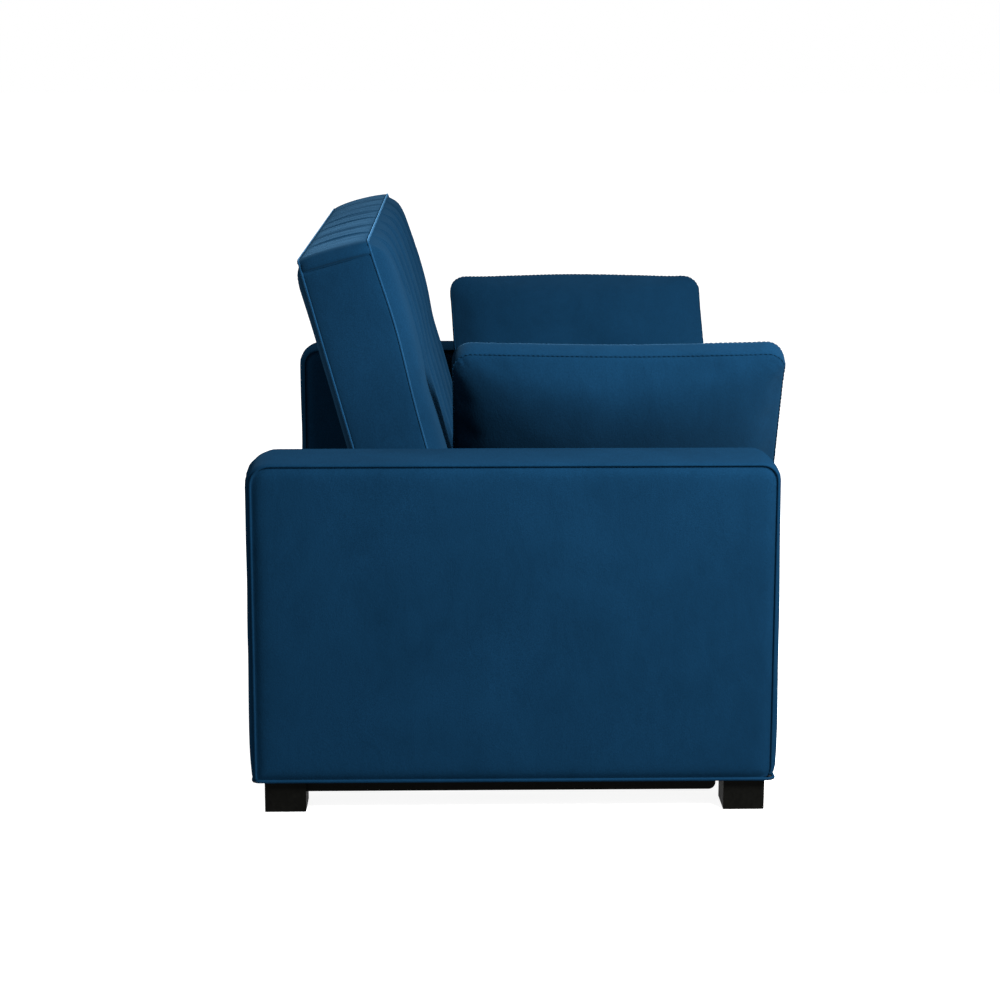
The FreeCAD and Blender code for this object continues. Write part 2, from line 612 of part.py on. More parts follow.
group("backrest_hinge_plates", [
    side_span(f"hinge_plate_{word}", side, plate_face, arm_face,
              (f"{back_pivot[0]} - dim.hinge_half_depth", f"{back_pivot[1]} - dim.hinge_half_height"),
              (f"{back_pivot[0]} + dim.hinge_half_depth", f"{back_pivot[1]} + dim.hinge_half_height"))
    for word, side in SIDES])
group("backrest_hinge_pins", [
    rod(f"hinge_pin_{word}", "dim.back_pin_radius",
        (f"{side} * dim.back_pin_end" if side == LEFT else f"-{plate_face}", *back_pivot),
        f"{plate_face} - dim.back_pin_end")
    for word, side in SIDES])
hinge_bolts = [
    (f"{back_pivot[0]} + {way_y} * dim.hinge_bolt_y", f"{back_pivot[1]} + {way_z} * dim.hinge_bolt_z")
    for way_y in (-1, 1) for way_z in (-1, 1)]
group("frame_bolts", [
    headed_pin(f"frame_bolt_{word}_{number}", side, f"{arm_face} + dim.bolt_depth", plate_face, y, z,
               "dim.bolt_radius")
    for word, side in SIDES for number, (y, z) in enumerate(plate_bolts + hinge_bolts)])

flat_underside = pivot.z + dim("back_pivot_depth") - dim("back_thick")
group("backrest_bumpers", [
    block(f"bumper_{word}",
          (f"{side} * dim.bumper_x - dim.bumper_width / 2", "dim.rear_rail_y",
           "dim.rear_rail_bottom + dim.tube"),
          ("dim.bumper_width", "dim.tube",
           f"{flat_underside} - dim.bumper_gap - dim.rear_rail_bottom - dim.tube"))
    for word, side in SIDES])

# ---------------------------------------------------------------- pillows


def pillow_ring(x, half_long, half_tall, corner):
    """The pillow's outline at one depth through it: a rectangle with its corners cut off."""
    y, z = half_long, half_tall
    points = [(-y + corner, -z), (y - corner, -z), (y, -z + corner), (y, z - corner),
              (y - corner, z), (-y + corner, z), (-y, z - corner), (-y, -z + corner)]
    corners = [Vector(x, along, up) for along, up in points]
    return Part.makePolygon(corners + corners[:1])


def pillow_shape(gap):
    """A boxed pillow standing on its long edge, each face crowned towards its middle, drawn in by a gap."""
    edge, thick = dim("pillow_edge") / 2 - gap, dim("pillow_thick") / 2 - gap
    half_long, half_tall = dim("pillow_long") / 2 - gap, dim("pillow_tall") / 2 - gap
    corner, taper = dim("pillow_corner"), dim("pillow_taper")
    crown = [(thick, taper), (edge, 0)]
    rings = [pillow_ring(side * x, half_long - inset, half_tall - inset, corner)
             for side, levels in ((-1, crown), (1, reversed(crown))) for x, inset in levels]
    return Part.makeLoft(rings, True, True)


def make_pillow(word, side):
    """A filled pillow that leans outward against one arm."""
    lean_angle = math.radians(dim("pillow_lean"))
    half_tall = dim("pillow_tall") / 2
    outer = pillow_shape(0)
    inner = pillow_shape(dim("cover_thick"))
    turn = Rotation(Vector(0, 1, 0), side * dim("pillow_lean"))
    outer_turned = outer.copy()
    outer_turned.Placement = Placement(Vector(), turn)
    up = dim("seat_top") + dim("pillow_gap") - outer_turned.BoundBox.ZMin
    middle_x = dim("pillow_top_x") - half_tall * math.sin(lean_angle)
    middle_y = dim("pillow_front") + dim("pillow_long") / 2
    place = Placement(Vector(side * middle_x, middle_y, up), turn)
    for label, shape in ((f"pillow_{word}_cover", outer.cut(inner)), (f"pillow_{word}_filling", inner)):
        feature = doc.addObject("Part::Feature", label)
        feature.Shape = shape
        feature.Placement = place


for word, side in SIDES:
    make_pillow(word, side)

# ---------------------------------------------------------------- check and write

NODES = (
    [f"arm_{w}_{p}" for w, _ in SIDES for p in ("core", "panels", "padding", "cover", "base_rail")]
    + [f"{end}_{w}_leg" for end in ("front", "rear") for w, _ in SIDES]
    + ["arm_dust_covers", "leg_bolts", "front_cross_rail", "middle_cross_rail", "rear_cross_rail",
       "middle_supports", "middle_slats", "middle_foam", "middle_cover",
       "front_apron_board", "front_apron_cover"]
    + [f"{p}_{w}" for p in ("mechanism_plate", "front_link", "rear_link", "seat_side_rail", "seat_leg",
                            "backrest_side_rail") for w, _ in SIDES]
    + ["base_pivot_pins", "seat_pivot_pins", "frame_bolts", "seat_stop_blocks",
       "seat_front_rail", "seat_rear_rail", "seat_webbing", "seat_foam", "seat_cover",
       "seat_fascia_board", "seat_fascia_cover",
       "backrest_top_rail", "backrest_bottom_rail", "backrest_webbing", "backrest_foam",
       "backrest_cover", "backrest_hinge_plates", "backrest_hinge_pins", "backrest_bumpers"]
    + [f"pillow_{w}_{p}" for w, _ in SIDES for p in ("cover", "filling")])

doc.recompute()
for item in doc.Objects:
    if "Invalid" in item.State or "Error" in item.State:
        raise RuntimeError(f"{item.Label} did not build: {item.State}")
pieces = [doc.getObject(node) for node in NODES]
for node, piece in zip(NODES, pieces):
    if piece is None or piece.Shape.isNull() or not piece.Shape.isValid():
        raise RuntimeError(f"{node} has no valid shape")
for node, piece in zip(NODES, pieces):
    piece.Label = node
    piece.Shape.exportStep(f"parts/{node}.step")
print(len(NODES), "nodes; backrest pivot", pivot.y, pivot.z)
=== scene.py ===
"""Looks of the convertible sofa bed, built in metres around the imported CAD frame.

+Z is up, the seat faces -Y and the sitter's left is +X. Every upholstered piece is a "boxed" form:
two panels joined by a boxing band, with piping on the seams.
"""
import json
import math

import bpy
import numpy as np
from mathutils import Matrix, Vector, noise


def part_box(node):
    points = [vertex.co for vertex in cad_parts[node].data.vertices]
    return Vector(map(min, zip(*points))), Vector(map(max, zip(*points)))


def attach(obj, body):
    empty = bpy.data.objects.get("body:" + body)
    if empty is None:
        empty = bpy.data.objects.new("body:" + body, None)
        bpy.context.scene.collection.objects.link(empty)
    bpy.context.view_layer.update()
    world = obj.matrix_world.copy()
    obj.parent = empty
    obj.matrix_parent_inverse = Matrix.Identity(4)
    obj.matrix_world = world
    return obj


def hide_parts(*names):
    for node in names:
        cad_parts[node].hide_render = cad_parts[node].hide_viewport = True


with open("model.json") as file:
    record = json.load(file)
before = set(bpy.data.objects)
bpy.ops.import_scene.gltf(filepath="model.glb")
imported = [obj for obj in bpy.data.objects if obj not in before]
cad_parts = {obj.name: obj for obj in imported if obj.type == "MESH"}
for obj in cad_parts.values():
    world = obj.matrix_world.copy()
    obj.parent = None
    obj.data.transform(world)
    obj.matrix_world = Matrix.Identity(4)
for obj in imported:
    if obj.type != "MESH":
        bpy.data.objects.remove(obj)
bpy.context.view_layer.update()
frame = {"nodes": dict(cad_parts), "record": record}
SIDES = (("left", 1), ("right", -1))
MM = 0.001

# ---------------------------------------------------------------- material tools


class Nodes:
    """A material's node tree, with short ways to add and join nodes."""

    def __init__(self, name):
        self.material = bpy.data.materials.new(name)
        self.material.use_nodes = True
        self.tree = self.material.node_tree
        self.shader = self.tree.nodes["Principled BSDF"]
        coordinates = self.tree.nodes.new("ShaderNodeTexCoord")
        self.place = coordinates.outputs["Object"]

    def add(self, kind, **inputs):
        """A node of that kind; keyword names are input sockets, with _ for a space."""
        node = self.tree.nodes.new("ShaderNode" + kind)
        for socket, value in inputs.items():
            self.put(value, node.inputs[socket.replace("_", " ")])
        return node

    def put(self, value, socket):
        """A number or colour is set on the socket; an output is linked to it."""
        if isinstance(value, bpy.types.NodeSocket):
            self.tree.links.new(value, socket)
        else:
            socket.default_value = value

    def stretched(self, scale):
        """Object coordinates, scaled differently along each axis."""
        return self.add("Mapping", Vector=self.place, Scale=scale).outputs["Vector"]

    def noise(self, scale, detail=3.0, roughness=0.55, distortion=0.0, vector=None):
        """Noise over the object, with that many bumps to a metre."""
        node = self.add("TexNoise", Vector=vector or self.place, Scale=scale, Detail=detail,
                        Roughness=roughness, Distortion=distortion)
        return node.outputs["Fac"]

    def ramp(self, factor, *stops):
        """A colour ramp through (position, colour) stops."""
        node = self.add("ValToRGB", Fac=factor)
        elements = node.color_ramp.elements
        while len(elements) < len(stops):
            elements.new(0.5)
        for element, (position, colour) in zip(elements, stops):
            element.position = position
            element.color = (*colour, 1.0)
        return node.outputs["Color"]

    def between(self, factor, low, high, start=0.0, end=1.0):
        """Turns a factor into a number between low and high."""
        node = self.add("MapRange", Value=factor)
        for socket, value in (("From Min", start), ("From Max", end), ("To Min", low), ("To Max", high)):
            node.inputs[socket].default_value = value
        return node.outputs["Result"]

    def mix(self, factor, first, second):
        """Blends two colours."""
        node = self.tree.nodes.new("ShaderNodeMix")
        node.data_type = "RGBA"
        for socket, value in ((0, factor), (6, first), (7, second)):
            if isinstance(value, tuple):
                value = (*value, 1.0)
            self.put(value, node.inputs[socket])
        return node.outputs[2]

    def bump(self, height, strength, distance, normal=None):
        """A normal bumped by the height, on top of another normal if one is given."""
        node = self.add("Bump", Height=height, Strength=strength, Distance=distance)
        if normal is not None:
            self.put(normal, node.inputs["Normal"])
        return node.outputs["Normal"]

    def shade(self, **inputs):
        """Sets the shader's sockets and returns the finished material."""
        for socket, value in inputs.items():
            if isinstance(value, tuple) and len(value) == 3:
                value = (*value, 1.0)
            self.put(value, self.shader.inputs[socket.replace("_", " ")])
        return self.material


def scaled(colour, factor):
    return tuple(channel * factor for channel in colour)


# The colours of the velvet, the blocks and the black steel are set for this studio, which is bright: the velvet
# renders about six times lighter than its base colour, so ordinary light needs lighter base colours.
VELVET_BLUE = (0.0010, 0.0066, 0.0156)
SHEEN_BLUE = (0.20, 0.52, 0.90)


def velvet(name, colour=VELVET_BLUE, contrast=0.15, sheen=0.025):
    """Short-pile velvet: brushed patches, faint streaks of the nap, fine pile and a soft sheen."""
    nodes = Nodes(name)
    patches = nodes.noise(4.5, detail=4.0, roughness=0.6, distortion=0.8)
    streaks = nodes.noise(26.0, detail=5.0, roughness=0.65, distortion=1.2,
                          vector=nodes.stretched((1.0, 1.0, 0.45)))
    pile = nodes.noise(560.0, detail=3.0, roughness=0.75)
    nap = nodes.noise(190.0, detail=3.0, roughness=0.6)
    broad = nodes.ramp(patches, (0.30, scaled(colour, 1 - contrast)), (0.72, scaled(colour, 1 + contrast)))
    streaked = nodes.mix(nodes.between(streaks, 0.0, 0.35, 0.35, 0.75), broad, scaled(colour, 1.35))
    speckled = nodes.mix(nodes.between(pile, 0.0, 0.6, 0.36, 0.7), streaked, scaled(colour, 0.45))
    normal = nodes.bump(pile, 0.35, 0.0006)
    normal = nodes.bump(nap, 0.22, 0.0012, normal)
    normal = nodes.bump(streaks, 0.10, 0.006, normal)
    return nodes.shade(
        Base_Color=speckled, Roughness=nodes.between(patches, 0.72, 0.92, 0.3, 0.7), Normal=normal,
        Specular_IOR_Level=0.0, Sheen_Weight=sheen, Sheen_Roughness=0.5, Sheen_Tint=SHEEN_BLUE)


def black_plastic(name):
    """Satin black block with a fine moulded grain and faint scuffs."""
    nodes = Nodes(name)
    grain = nodes.noise(900.0, detail=2.0)
    scuffs = nodes.noise(60.0, detail=6.0, roughness=0.75, distortion=2.0)
    colour = nodes.ramp(scuffs, (0.35, (0.0006, 0.0006, 0.0005)), (0.75, (0.0014, 0.0014, 0.0012)))
    return nodes.shade(Base_Color=colour, Roughness=nodes.between(scuffs, 0.40, 0.62, 0.3, 0.7),
                       Normal=nodes.bump(grain, 0.25, 0.0004), Specular_IOR_Level=0.01)


def powder_coat(name):
    """Black powder coat with its slight orange peel."""
    nodes = Nodes(name)
    peel = nodes.noise(520.0, detail=2.0)
    dust = nodes.noise(35.0, detail=5.0, roughness=0.7)
    colour = nodes.ramp(dust, (0.4, (0.003, 0.003, 0.0033)), (0.8, (0.009, 0.009, 0.0095)))
    return nodes.shade(Base_Color=colour, Roughness=nodes.between(dust, 0.42, 0.62, 0.3, 0.8),
                       Normal=nodes.bump(peel, 0.3, 0.0005), Specular_IOR_Level=0.2)


def zinc(name):
    """Zinc-plated steel with a mottled, brushed surface."""
    nodes = Nodes(name)
    brushed = nodes.noise(300.0, detail=3.0, vector=nodes.stretched((6.0, 1.0, 1.0)))
    mottle = nodes.noise(90.0, detail=4.0, roughness=0.6)
    colour = nodes.ramp(mottle, (0.3, (0.42, 0.42, 0.40)), (0.75, (0.62, 0.62, 0.59)))
    return nodes.shade(Base_Color=colour, Metallic=1.0,
                       Roughness=nodes.between(brushed, 0.24, 0.42, 0.3, 0.7),
                       Normal=nodes.bump(brushed, 0.15, 0.0003))


def planed_wood(name):
    """Pale planed softwood with long grain lines."""
    nodes = Nodes(name)
    along = nodes.stretched((14.0, 14.0, 1.2))
    wander = nodes.noise(3.0, detail=4.0, distortion=1.5, vector=along)
    grain = nodes.noise(60.0, detail=6.0, roughness=0.7, distortion=0.6, vector=along)
    colour = nodes.ramp(wander, (0.25, (0.42, 0.25, 0.12)), (0.55, (0.60, 0.41, 0.22)), (0.85, (0.70, 0.51, 0.30)))
    colour = nodes.mix(nodes.between(grain, 0.0, 0.5, 0.45, 0.75), colour, (0.34, 0.19, 0.08))
    return nodes.shade(Base_Color=colour, Roughness=nodes.between(grain, 0.5, 0.75, 0.3, 0.7),
                       Normal=nodes.bump(grain, 0.3, 0.0006))


def open_foam(name):
    """Cream upholstery foam with open cells."""
    nodes = Nodes(name)
    cells = nodes.add("TexVoronoi", Vector=nodes.place, Scale=420.0).outputs["Distance"]
    tone = nodes.noise(8.0, detail=3.0)
    colour = nodes.ramp(tone, (0.3, (0.62, 0.55, 0.38)), (0.7, (0.74, 0.68, 0.50)))
    return nodes.shade(Base_Color=colour, Roughness=nodes.between(cells, 0.85, 1.0, 0.0, 0.6),
                       Normal=nodes.bump(cells, 0.6, 0.0012))


def woven(name, colour, threads=420.0):
    """A plain weave: two crossed sets of fine ridges."""
    nodes = Nodes(name)
    ridges = []
    for direction in ("X", "Y"):
        wave = nodes.add("TexWave", Vector=nodes.place, Scale=threads, Distortion=0.6, Detail=1.0)
        wave.bands_direction = direction
        ridges.append(wave.outputs["Fac"])
    crossed = nodes.add("Math")
    crossed.operation = "MULTIPLY"
    nodes.put(ridges[0], crossed.inputs[0])
    nodes.put(ridges[1], crossed.inputs[1])
    weave = crossed.outputs["Value"]
    shade = nodes.mix(weave, scaled(colour, 0.55), scaled(colour, 1.3))
    return nodes.shade(Base_Color=shade, Roughness=nodes.between(weave, 0.8, 0.95),
                       Normal=nodes.bump(weave, 0.5, 0.0005), Specular_IOR_Level=0.1)


def black_rubber(name):
    nodes = Nodes(name)
    grain = nodes.noise(700.0, detail=3.0)
    bloom = nodes.noise(40.0, detail=4.0)
    colour = nodes.ramp(bloom, (0.35, (0.010, 0.010, 0.010)), (0.8, (0.024, 0.024, 0.023)))
    return nodes.shade(Base_Color=colour, Roughness=nodes.between(bloom, 0.65, 0.85, 0.3, 0.7),
                       Normal=nodes.bump(grain, 0.3, 0.0004))


MATERIALS = {
    "velvet": velvet("velvet"),
    "black_block": black_plastic("black_block"),
    "black_steel": powder_coat("black_steel"),
    "zinc_steel": zinc("zinc_steel"),
    "wood": planed_wood("wood"),
    "foam": open_foam("foam"),
    "fibre_fill": woven("fibre_fill", (0.70, 0.70, 0.68), threads=600.0),
    "webbing": woven("webbing", (0.035, 0.033, 0.030), threads=260.0),
    "dust_cloth": woven("dust_cloth", (0.004, 0.004, 0.004), threads=700.0),
    "rubber": black_rubber("rubber"),
}
# the same cloth in lit and shaded copies: only the sheen, and the cords' colour, are set apart, to match how
# bright each piece looks; the cords' lighter colour and strong sheen are a painted highlight
PIPING_VELVET_PAINTED_HIGHLIGHT = velvet("piping_velvet_painted_highlight", colour=scaled(VELVET_BLUE, 1.6), contrast=0.12, sheen=0.12)
# the arms' very weak sheen is painted shade: it keeps their tops duller than the rest of the same cloth
ARM_VELVET_PAINTED_SHADE = velvet("arm_velvet_painted_shade", sheen=0.008)
# the backrest's stronger sheen is a painted highlight that brightens its top band
BACK_VELVET_PAINTED_HIGHLIGHT = velvet("back_velvet_painted_highlight", sheen=0.03)

for entry in frame["record"]["subparts"]:
    node_mesh = frame["nodes"][entry["node"]].data
    node_mesh.materials.clear()
    node_mesh.materials.append(MATERIALS[entry["material_slot"]])

# ---------------------------------------------------------------- shape tools


def edge_rows(half, coarse=12 * MM, tucks=()):
    """Grid lines from -1 to 1 over a half width: close together beside the seams and the tucks."""
    from_seam = [0.0, 1.5, 3.5, 6.0, 9.5, 14.0, 20.0, 28.0, 38.0]
    near = [1 - distance * MM / half for distance in from_seam if distance * MM < 0.45 * half]
    count = max(3, round(2 * near[-1] * half / coarse))
    middle = np.linspace(-near[-1], near[-1], count + 1)[1:-1]
    lines = np.array([-value for value in near] + list(middle) + near[::-1])
    from_tuck = np.array([0.0, 2.0, 4.0, 6.5, 9.5, 13.0, 17.0, 22.0]) * MM
    for tuck in tucks:
        close = np.abs(lines * half - tuck) < 26 * MM
        lines = np.concatenate([lines[~close], (tuck - from_tuck[:0:-1]) / half, (tuck + from_tuck) / half])
    return np.sort(lines)


def corner_radii(points, radii):
    """The outline's corner radius for each point, by quadrant: (+u +v), (-u +v), (-u -v), (+u -v)."""
    u, v = points[:, 0], points[:, 1]
    return np.select([(u >= 0) & (v >= 0), (u < 0) & (v >= 0), (u < 0) & (v < 0)], radii[:3], radii[3])


def to_outline(grid, half, radii):
    """Maps a square grid onto a rectangle with rounded corners, ring by ring."""
    level = np.abs(grid).max(axis=1)
    safe = np.maximum(level, 1e-9)[:, None]
    rim = grid / safe * half
    radius = corner_radii(rim, radii)[:, None]
    inner = np.clip(rim, -(half - radius), half - radius)
    away = rim - inner
    length = np.linalg.norm(away, axis=1, keepdims=True)
    in_corner = (np.abs(away) > 1e-9).all(axis=1, keepdims=True)
    rounded = inner + away / np.maximum(length, 1e-9) * radius
    return np.where(in_corner, rounded, rim) * level[:, None]


def seam_distance(points, half, radii):
    """Distance of each point from the outline, and the outward direction there."""
    radius = corner_radii(points, radii)[:, None]
    beyond = np.abs(points) - (half - radius)
    outside = np.maximum(beyond, 0)
    length = np.linalg.norm(outside, axis=1)
    distance = radius[:, 0] - length - np.minimum(beyond.max(axis=1), 0)
    flat = np.eye(2)[beyond.argmax(axis=1)]
    direction = np.where(length[:, None] > 1e-9, outside / np.maximum(length, 1e-9)[:, None], flat)
    return distance, direction * np.where(points < 0, -1.0, 1.0)


def ripple(points, size, seed=0.0):
    """Smooth noise from -1 to 1 at each point, with bumps of about that size."""
    offset = Vector((seed, seed * 1.7, seed * 0.3))
    return np.array([noise.noise(Vector(point) / size + offset) for point in points])


PIPING = 2.1 * MM
PIPING_STANDS_OUT = 0.4 * MM


class Boxed:
    """Two panels joined by a boxing band. u and v run across the panels and w through the thickness.

    front, rear and band give how far each surface stands out from the plain form, in metres. bow gives how
    far the front seam itself stands forward, and tucks the stitched lines across u and v.
    """

    def __init__(self, half, half_w, radii, coarse=12 * MM, band_rows=10, tucks=((), ()), bow=None):
        self.half = np.array(half, float)
        self.half_w = half_w
        self.radii = radii if isinstance(radii, (list, tuple)) else [radii] * 4
        self.bow = bow or (lambda points: np.zeros(len(points)))
        u_lines, v_lines = (edge_rows(h, coarse, marks) for h, marks in zip(self.half, tucks))
        self.count_u, self.count_v = len(u_lines), len(v_lines)
        grid = np.array([(u, v) for v in v_lines for u in u_lines])
        self.panel = to_outline(grid, self.half, self.radii)
        self.distance, _ = seam_distance(self.panel, self.half, self.radii)
        self.ring = self.ring_order()
        self.ring_points = self.panel[self.ring]
        _, self.ring_out = seam_distance(self.ring_points, self.half, self.radii)
        self.band_levels = np.cos(np.linspace(0, math.pi, band_rows + 1))[1:-1]

    def ring_order(self):
        """The panel's rim vertices in order round it."""
        nu, nv = self.count_u, self.count_v
        index = np.arange(nu * nv).reshape(nv, nu)
        return np.concatenate([index[0, :-1], index[:-1, -1], index[-1, :0:-1], index[:0:-1, 0]])

    def build(self, front, rear, band):
        """Vertices (u, v, w) and faces of the closed form."""
        size = len(self.panel)
        top = np.column_stack(
            [self.panel, self.half_w + self.bow(self.panel) + front(self.panel, self.distance)])
        bottom = np.column_stack([self.panel, -self.half_w - rear(self.panel, self.distance)])
        rows = []
        for level in self.band_levels:
            out = band(self.ring_points, level)[:, None] * self.ring_out
            w = level * self.half_w + self.bow(self.ring_points) * (1 + level) / 2
            rows.append(np.column_stack([self.ring_points + out, w]))
        vertices = np.vstack([top, bottom, *rows])
        faces = []
        nu, nv = self.count_u, self.count_v
        for j in range(nv - 1):
            for i in range(nu - 1):
                a = j * nu + i
                faces.append((a, a + 1, a + nu + 1, a + nu))
                faces.append((size + a + nu, size + a + nu + 1, size + a + 1, size + a))
        rings = [self.ring]
        for number in range(len(self.band_levels)):
            rings.append(2 * size + number * len(self.ring) + np.arange(len(self.ring)))
        rings.append(size + self.ring)
        for upper, lower in zip(rings, rings[1:]):
            for k in range(len(upper)):
                n = (k + 1) % len(upper)
                faces.append((int(upper[k]), int(lower[k]), int(lower[n]), int(upper[n])))
        return vertices, faces

    def seam(self, side):
        """The seam's points round the panel on one side, +1 front or -1 rear."""
        level = side * self.half_w + self.bow(self.ring_points) * (1 + side) / 2
        return np.column_stack([self.ring_points, level]), self.ring_out

    def piping(self, side):
        """The middle of the cord that covers the seam on one side, and the outward directions."""
        points, outward = self.seam(side)
        stand_off = np.column_stack([outward * PIPING_STANDS_OUT, np.full(len(points), side * PIPING_STANDS_OUT)])
        return points + stand_off, outward


def axes(u, v, origin):
    """The matrix that takes (u, v, w) to the sofa's frame."""
    u, v = Vector(u).normalized(), Vector(v).normalized()
    w = u.cross(v)
    matrix = Matrix((u, v, w)).transposed().to_4x4()
    matrix.translation = Vector(origin)
    return matrix


def placed(points, matrix):
    """The points, moved by the matrix."""
    array = np.array(matrix)
    return points @ array[:3, :3].T + array[:3, 3]


def make_piece(name, vertices, faces, material):
    """A smooth-shaded object made of those faces."""
    mesh = bpy.data.meshes.new(name)
    mesh.from_pydata([tuple(v) for v in vertices], [], faces)
    mesh.update()
    mesh.polygons.foreach_set("use_smooth", [True] * len(mesh.polygons))
    mesh.materials.append(material)
    piece = bpy.data.objects.new(name, mesh)
    bpy.context.scene.collection.objects.link(piece)
    return piece


def cord_mesh(paths, radius, sides=8):
    """Round cords along closed or open paths: a list of (points, closed)."""
    vertices, faces = [], []
    for points, closed in paths:
        points = np.array(points, float)
        count = len(points)
        if closed:
            tangents = np.roll(points, -1, axis=0) - np.roll(points, 1, axis=0)
        else:
            tangents = np.gradient(points, axis=0)
        tangents /= np.linalg.norm(tangents, axis=1, keepdims=True)
        side = np.cross(tangents[0], (0.31, 0.52, 0.79))
        start = len(vertices)
        for point, tangent in zip(points, tangents):
            side = side - tangent * (side @ tangent)
            side /= np.linalg.norm(side)
            other = np.cross(tangent, side)
            for k in range(sides):
                angle = 2 * math.pi * k / sides
                vertices.append(point + radius * (math.cos(angle) * side + math.sin(angle) * other))
        last = count if closed else count - 1
        shift = 0
        if closed:
            first = np.array(vertices[start]) - points[0]
            end_side = side - tangents[0] * (side @ tangents[0])
            end_other = np.cross(tangents[0], end_side)
            turn = math.atan2(first @ end_other, first @ end_side)
            shift = round(turn / (2 * math.pi / sides))
        for k in range(last):
            following = (k + 1) % count
            extra = shift if following == 0 else 0
            for side_index in range(sides):
                a = start + k * sides + (side_index + extra) % sides
                b = start + k * sides + (side_index + 1 + extra) % sides
                c = start + following * sides + (side_index + 1) % sides
                d = start + following * sides + side_index
                faces.append((a, b, c, d))
        if not closed:
            faces.append(tuple(start + k for k in reversed(range(sides))))
            faces.append(tuple(start + (count - 1) * sides + k for k in range(sides)))
    return vertices, faces


def rounded_loop(half_x, half_y, radius, step=8 * MM):
    """Points round a flat rectangle with rounded corners."""
    points = []
    for corner, (x, y) in enumerate([(1, 1), (-1, 1), (-1, -1), (1, -1)]):
        for part in range(7):
            angle = math.pi / 2 * (corner + part / 6)
            points.append((x * (half_x - radius) + radius * math.cos(angle),
                           y * (half_y - radius) + radius * math.sin(angle)))
    loop = []
    for here, there in zip(points, points[1:] + points[:1]):
        here, there = np.array(here), np.array(there)
        count = max(1, round(float(np.linalg.norm(there - here)) / step))
        loop += [here + (there - here) * share / count for share in range(count)]
    return np.column_stack([np.array(loop), np.zeros(len(loop))])


def stitch_paths(points, pitch=8.5 * MM, dash=5 * MM):
    """Short straight stitches, evenly spaced along a closed path."""
    closed = np.vstack([points, points[:1]])
    along = np.concatenate([[0], np.cumsum(np.linalg.norm(np.diff(closed, axis=0), axis=1))])
    starts = np.arange(0, along[-1] - pitch / 2, pitch)
    ends = [np.column_stack([np.interp(starts + shift, along, closed[:, axis]) for axis in range(3)])
            for shift in (0, dash)]
    return [(pair, False) for pair in zip(*ends)]


def puckers(points, pitch, seed):
    """Small uneven gathers along a seam, from -1 to 1."""
    phase = 2 * math.pi * (points[:, 0] + points[:, 1] * 0.83) / pitch
    wander = ripple(np.column_stack([points[:, :2], np.zeros(len(points))]), 0.09, seed)
    return np.sin(phase + 5.0 * wander) * (0.45 + 0.55 * ripple(
        np.column_stack([points[:, :2], np.ones(len(points))]), 0.035, seed + 3))


def crowned(rise, reach, dip=0.0, dip_reach=6 * MM, gather=0.0, gather_reach=22 * MM, wave=0.0, seed=1.0,
            pitch=21 * MM):
    """A panel that rises from its seam, with a shallow dip and gathers beside it and slow undulation."""
    def stand_out(points, distance):
        lift = rise * (1 - np.exp(-distance / reach))
        lift = lift - dip * distance / dip_reach * np.exp(1 - distance / dip_reach)
        if gather:
            lift = lift + gather * puckers(points, pitch, seed) * np.exp(-distance / gather_reach) \
                * (1 - np.exp(-distance / (3 * MM)))
        if wave:
            flat = np.column_stack([points, np.full(len(points), seed)])
            easing = 1 - np.exp(-distance / (30 * MM))
            lift = lift + easing * wave * (ripple(flat, 0.22, seed) + 0.45 * ripple(flat, 0.085, seed + 9))
        return lift
    return stand_out


def banded(rise, gather=0.0, wave=0.0, seed=2.0, pitch=24 * MM, power=0.5):
    """A boxing band that bulges between its two seams."""
    def stand_out(points, level):
        across = (1 - level * level) ** power
        lift = np.full(len(points), rise * across)
        if gather:
            lift = lift + gather * puckers(points, pitch, seed) * across * abs(level) ** 2
        if wave:
            flat = np.column_stack([points, np.full(len(points), level * 0.3)])
            lift = lift + wave * across * ripple(flat, 0.13, seed)
        return lift
    return stand_out

# ---------------------------------------------------------------- arms

ARM_CORNERS = {"front": 27 * MM, "rear": 33 * MM}
FOOT_CORNERS = {"front": 20 * MM, "rear": 8 * MM}


def above_hem(ring_out):
    """1 round the front, top and rear of an arm, 0 along its flat underside."""
    return (ring_out[:, 1] > -0.6).astype(float)


